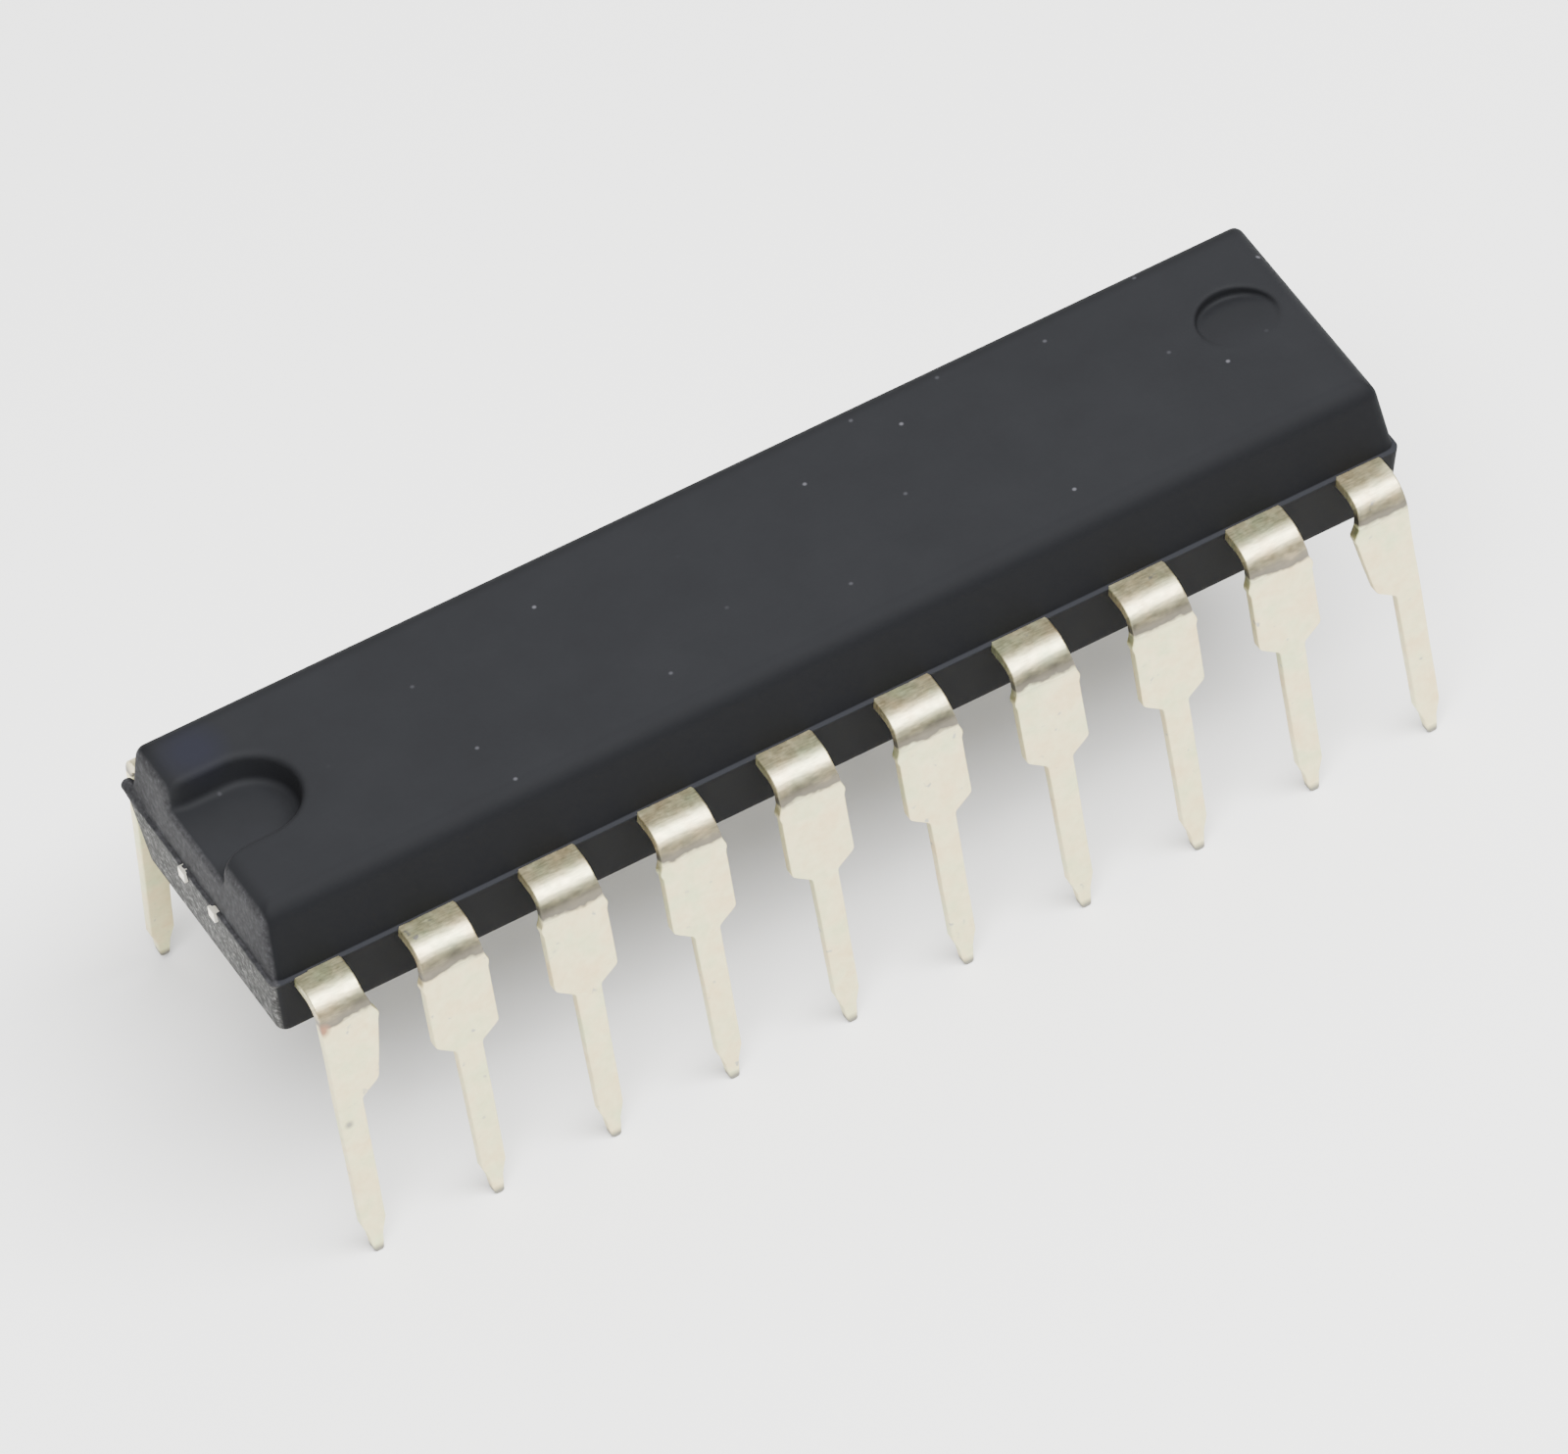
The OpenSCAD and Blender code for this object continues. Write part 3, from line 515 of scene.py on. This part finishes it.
    coats = [
        # painted shade: the sides darker than the top
        (aside, look["side"], "MIX"),
        # painted highlight: the ledge paler
        (ledgeHighlight.outputs[0], look["ledge"], "MIX"),
        (topDots.outputs[0], look["dots"], "MIX"),
        (nearPoint(tree, place, look["bluePlace"], look["blueReach"]), look["blue"], "MIX"),
        (atEnd, endSkin, "MIX"),
    ]
    height = addNode(tree, "ShaderNodeMix", {0: atEnd, 2: noise["grain"], 3: noise["coarse"]})
    bump = addNode(tree, "ShaderNodeBump", {"Height": height.outputs[0], "Strength": look["bump"],
                                            "Distance": look["bumpHeight"] * mm})
    finishMaterial(tree, {"Base Color": layOver(tree, tint.outputs[0], coats),
                          "Roughness": look["roughness"], "IOR": look["ior"],
                          "Specular IOR Level": gloss.outputs[0], "Normal": bump.outputs[0]})
    return made


def filletMeet(a, b, r):
    # overlap of two forms given by their distances: the greater one, and within r of their edge the
    # distance to a round of radius r
    return np.minimum(np.maximum(a, b), -r) + np.hypot(np.maximum(a + r, 0), np.maximum(b + r, 0))


def filletJoin(a, b, r):
    # the two forms together, with a round inner corner of radius r: the overlap of what lies outside
    # both, inside out
    return -filletMeet(-a, -b, r)


def halfMoulding(x, y, up, inset, height, topRound):
    # drafted block above up = 0: |x| and |y| less the half sizes, turned by the draft, rounded where they
    # meet
    s = moulding
    side, end = math.radians(s["sideDraft"]), math.radians(s["endDraft"])
    sides = (np.abs(y) - s["width"] / 2 + inset) * math.cos(side) + up * math.sin(side)
    ends = (np.abs(x) - s["length"] / 2 + inset) * math.cos(end) + up * math.sin(end)
    return filletMeet(filletMeet(sides, ends, s["cornerRound"]), up - height, topRound)


def mouldingField(x, y, z):
    # Distance to the moulded body's skin in mm, negative inside: two halves, less the notch and the three
    # pin marks, with the gate's stub. A part is cut away by meeting the body with the part's distance
    # turned negative.
    s = moulding
    up = z - partZ
    notchedEnd = smoothStep((-x - s["rippleFrom"]) / s["rippleIn"])
    waves = sum(part * np.sin(turn * y + phase) for turn, phase, part in s["rippleWaves"])
    ripple = s["ripple"] * notchedEnd * waves
    upper = halfMoulding(x, y, up, s["ledge"], s["upper"], s["topRound"])
    upper = filletMeet(upper, -up - 0.2, 0.02)   # it ends inside the lower half
    lower = halfMoulding(x, y, -up, 0, s["lower"], s["bottomRound"])
    lower = filletMeet(lower, up + ripple, s["ledgeRound"])
    skin = np.minimum(upper, lower)

    # the notch: a slot with a round end, a mouth that widens on the near side, and leaning walls
    topZ = partZ + s["upper"]
    endSlope = math.tan(math.radians(s["endDraft"]))
    topEnd = s["length"] / 2 - s["ledge"] - s["upper"] * endSlope
    radius = s["notchWidth"] / 2
    beyond = x - (-topEnd + s["notchLength"] - radius)
    aside = np.abs(y - s["notchY"])
    outline = np.where(beyond > 0, np.hypot(beyond, aside), aside) - radius
    mouth = (x + topEnd + aside - radius) / math.sqrt(2)
    nearSide = smoothStep((s["notchY"] - y) / s["mouthBlend"])
    mouthRound = s["farMouth"] + (s["nearMouth"] - s["farMouth"]) * nearSide
    outline = filletJoin(outline, mouth, mouthRound)
    wall = outline + s["notchLean"] * (topZ - z) / s["notchDepth"]
    skin = filletMeet(skin, -filletMeet(wall, topZ - s["notchDepth"] - z, s["notchFloor"]), s["notchRim"])

    # the ejector pin stood a little askew: its print is deep on the far side and runs out towards the
    # near one
    pin = np.hypot(x - topEnd + s["pinIn"], y - s["pinY"]) - s["pinWidth"] / 2
    tilt = np.clip((y - s["pinY"]) / (0.5 * s["pinWidth"]), -1, 1)
    floorZ = topZ - s["pinDepth"] * (s["pinLevel"] + s["pinTilt"] * tilt)
    skin = filletMeet(skin, -filletMeet(pin, floorZ - z, s["pinFloor"]), s["pinRim"])
    underEnd = s["length"] / 2 - s["lower"] * endSlope
    underPin = np.hypot(np.abs(x) - underEnd + s["pinIn"], y) - s["pinWidth"] / 2
    underPin = filletMeet(underPin, up + s["lower"] - s["underPin"], s["underPinFloor"])
    skin = filletMeet(skin, -underPin, s["underPinRim"])

    # the broken gate at the far corner of the notched end
    gate = np.hypot(x + s["length"] / 2 - s["gateIn"], up - s["gateUp"]) - s["gateWidth"] / 2
    halfGate = s["gateLength"] / 2
    gate = filletMeet(gate, np.abs(y - s["width"] / 2 + halfGate) - halfGate - s["gateOut"], s["gateRound"])
    return filletJoin(skin, gate, s["gateJoin"])


def levelSurface(field, xs, ys, zs):
    # Surface net: each grid cell that the skin passes through gets one point, the mean of the places
    # where the skin cuts the cell's edges, and each grid edge that it cuts gets one quad. Then each point
    # slides down the field's slope until it lies on the skin.
    value = field(xs[:, None, None], ys[None, :, None], zs[None, None, :])
    cells = tuple(n - 1 for n in value.shape)
    total = np.zeros((*cells, 4))
    quads = []
    for axis, line in enumerate((xs, ys, zs)):
        second, third = (axis + 1) % 3, (axis + 2) % 3
        below, above = np.delete(value, -1, axis), np.delete(value, 0, axis)
        cut = (below < 0) != (above < 0)
        at = np.argwhere(cut)
        share = below[cut] / (below[cut] - above[cut])
        point = np.stack([xs[at[:, 0]], ys[at[:, 1]], zs[at[:, 2]], np.ones(len(at))], axis=1)
        point[:, axis] += share * (line[at[:, axis] + 1] - line[at[:, axis]])
        corners = []
        for shift in ((-1, -1), (0, -1), (0, 0), (-1, 0)):
            cell = at.copy()
            cell[:, [second, third]] += shift
            np.add.at(total, tuple(cell.T), point)
            corners.append(np.ravel_multi_index(cell.T, cells))
        quad = np.stack(corners, axis=1)
        inwards = below[cut] >= 0
        quad[inwards] = quad[inwards, ::-1]
        quads.append(quad)
    total = total.reshape(-1, 4)
    used = np.flatnonzero(total[:, 3])
    renumber = np.zeros(len(total), np.int64)
    renumber[used] = np.arange(len(used))
    points = total[used, :3] / total[used, 3:]

    probe, leastSteep, furthest = 0.004, 0.3, 0.04
    for _ in range(4):
        x, y, z = points.T
        slope = np.stack([field(x + probe, y, z) - field(x - probe, y, z),
                          field(x, y + probe, z) - field(x, y - probe, z),
                          field(x, y, z + probe) - field(x, y, z - probe)], axis=1) / (2 * probe)
        steep = np.maximum((slope ** 2).sum(1), leastSteep)
        points = points - np.clip(field(x, y, z) / steep, -furthest, furthest)[:, None] * slope
    return points, renumber[np.concatenate(quads)]


def spaced(stops):
    # places of grid lines: each stop is a place and the step used up to it, and a stretch is cut in equal
    # parts
    places = [stops[0][0]]
    for place, step in stops[1:]:
        count = max(1, round((place - places[-1]) / step))
        places.extend(np.linspace(places[-1], place, count + 1)[1:])
    return np.array(places)


def makeMoulding():
    # the skin on a grid that is fine at the notched end and about the parting plane, and long in the
    # plain middle
    s = moulding
    end, side = s["length"] / 2, s["width"] / 2
    step, fine = s["step"], s["fineStep"]
    xs = spaced([(-end - 0.17, 0), (-end + 0.2, fine), (-end + 2.55, step), (end - 2.4, s["longStep"]),
                 (end + 0.15, step)])
    ys = spaced([(-side - 0.12, 0), (side + 0.2, step)])
    zs = spaced([(partZ - s["lower"] - 0.08, 0), (partZ - 0.15, step), (partZ + 0.12, fine),
                 (partZ + s["upper"] + 0.07, step)])
    points, faces = levelSurface(mouldingField, xs, ys, zs)
    mesh = bpy.data.meshes.new("mouldedBody")
    mesh.from_pydata((points * mm).tolist(), [], faces.tolist())
    mesh.polygons.foreach_set("use_smooth", [True] * len(mesh.polygons))
    mesh.materials.append(mouldedEpoxy())
    piece = bpy.data.objects.new("mouldedBody", mesh)
    bpy.context.scene.collection.objects.link(piece)
    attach(piece, "root")
    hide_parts("body")


makeMoulding()
print("body made")


# what the moulding hides keeps its own solid and gets its finish: two tones, grains to a mm, roughness,
# metallic
innerLook = {
    # copper alloy strip with a silver spot, rolled: pale, nearly smooth
    "die_paddle": ("rolledFrameStrip", ("#f1ecdc", "#fbf8ee"), 3, 0.5, 1.0),
    # silver filled die bond, dispensed and cured: dull grey paste
    "die_attach": ("silverDieBond", ("#8b8b86", "#9a9a95"), 9, 0.55, 0.7),
    # silicon, sawn from a polished wafer: dark blue grey and glossy
    "die": ("polishedSilicon", ("#474c58", "#525866"), 2.5, 0.15, 0.8),
    # drawn gold wire: bright yellow
    "bond_wire": ("drawnGold", ("#e8bd5a", "#f3cd70"), 12, 0.2, 1.0),
}


def innerMaterial(name, tones, perMm, rough, metallic):
    # two tones in a fine noise over the piece's own places
    made, tree = newMaterial(name)
    place = addNode(tree, "ShaderNodeTexCoord").outputs["Object"]
    noise = addNode(tree, "ShaderNodeTexNoise", {"Vector": place, "Scale": perMm / mm, "Detail": 3})
    tint = addNode(tree, "ShaderNodeValToRGB", {0: noise.outputs[0]}, [(0.35, tones[0]), (0.65, tones[1])])
    finishMaterial(tree, {"Base Color": tint.outputs[0], "Roughness": rough, "Metallic": metallic})
    return made


for start, look in innerLook.items():
    finish = innerMaterial(*look)
    for name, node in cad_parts.items():
        if name.rstrip("_0123456789") == start:   # the wires have numbers
            node.data.materials.clear()
            node.data.materials.append(finish)
print("inner pieces dressed")


# lights in metres and watts, the camera's place in mm, angles in degrees
stage = {
    "floor": "#fbfbfa", "floorReach": 0.6,
    # the room's brightness by height, and of the wall by how far it lies towards -X
    "sky": [(0.5, 0.12), (0.9, 0.8)], "wall": 0.5, "wallFrom": -0.4, "wallFull": -0.85,
    "overBox": {"place": (0.01, -0.065, 0.16), "size": (0.24, 0.085), "watts": 1.25},
    "backBox": {"place": (0.06, 0.16, 0.15), "size": (0.30, 0.14), "watts": 0.35},
    "cameraPlace": (-89.228, -208.922, 250.084), "azimuth": 23.1062, "elevation": 47.3187, "roll": -8.1907,
    "lens": 406.871, "shift": (0.0055846, -0.0058787),
}


def makeFloor():
    # a plain card: smooth, matt and nearly white
    mesh = bpy.data.meshes.new("floor")
    reach = stage["floorReach"]
    corners = [(-reach, -reach, 0), (reach, -reach, 0), (reach, reach, 0), (-reach, reach, 0)]
    mesh.from_pydata(corners, [], [(0, 1, 2, 3)])
    made, tree = newMaterial("paleCard")
    finishMaterial(tree, {"Base Color": stage["floor"], "Roughness": 0.9, "Specular IOR Level": 0.2})
    mesh.materials.append(made)
    floor = bpy.data.objects.new("floor", mesh)
    bpy.context.scene.collection.objects.link(floor)


def areaLight(name, place, size, watts):
    # a soft box that faces the middle of the body
    light = bpy.data.lights.new(name, "AREA")
    light.shape = "RECTANGLE"
    light.size, light.size_y = size
    light.energy = watts
    lamp = bpy.data.objects.new(name, light)
    lamp.location = Vector(place)
    lamp.rotation_mode = "QUATERNION"
    lamp.rotation_quaternion = (Vector((0, 0, partZ * mm)) - Vector(place)).to_track_quat("-Z", "Y")
    bpy.context.scene.collection.objects.link(lamp)


def softRoom():
    # dark at the horizon and paler towards the ceiling, with a pale wall on the side of the notched end
    world = bpy.data.worlds.new("softRoom")
    world.use_nodes = True
    room = world.node_tree
    direction = addNode(room, "ShaderNodeTexCoord")
    x, _, z = addNode(room, "ShaderNodeSeparateXYZ", {0: direction.outputs["Generated"]}).outputs
    sky = addNode(room, "ShaderNodeValToRGB", {0: z}, stage["sky"])
    wall = addNode(room, "ShaderNodeMapRange", {"Value": x, "From Min": stage["wallFrom"],
                                                "From Max": stage["wallFull"], "To Max": stage["wall"]})
    glow = addNode(room, "ShaderNodeMath", {0: sky.outputs[0], 1: wall.outputs[0]}, operation="ADD")
    room.links.new(glow.outputs[0], room.nodes["Background"].inputs[0])
    bpy.context.scene.world = world


def placeCamera():
    # turned by azimuth and elevation, then rolled about the line of sight, as fitted to the photograph
    camera = bpy.data.cameras.new("camera")
    camera.sensor_width = 36
    camera.sensor_fit = "HORIZONTAL"
    camera.lens = stage["lens"]
    camera.shift_x, camera.shift_y = stage["shift"]
    camera.clip_start, camera.clip_end = 0.01, 5
    eye = bpy.data.objects.new("camera", camera)
    azimuth, elevation, roll = (math.radians(stage[key]) for key in ("azimuth", "elevation", "roll"))
    forward = Vector((math.sin(azimuth) * math.cos(elevation), math.cos(azimuth) * math.cos(elevation),
                      -math.sin(elevation)))
    level = Vector((math.cos(azimuth), -math.sin(azimuth), 0))
    upright = level.cross(forward)
    right = level * math.cos(roll) + upright * math.sin(roll)
    turn = Matrix((right, right.cross(forward), -forward)).transposed().to_4x4()
    eye.matrix_world = Matrix.Translation(Vector(stage["cameraPlace"]) * mm) @ turn
    bpy.context.scene.collection.objects.link(eye)
    bpy.context.scene.camera = eye


makeFloor()
areaLight("overBox", **stage["overBox"])
areaLight("backBox", **stage["backBox"])
softRoom()
placeCamera()
print("stage set")
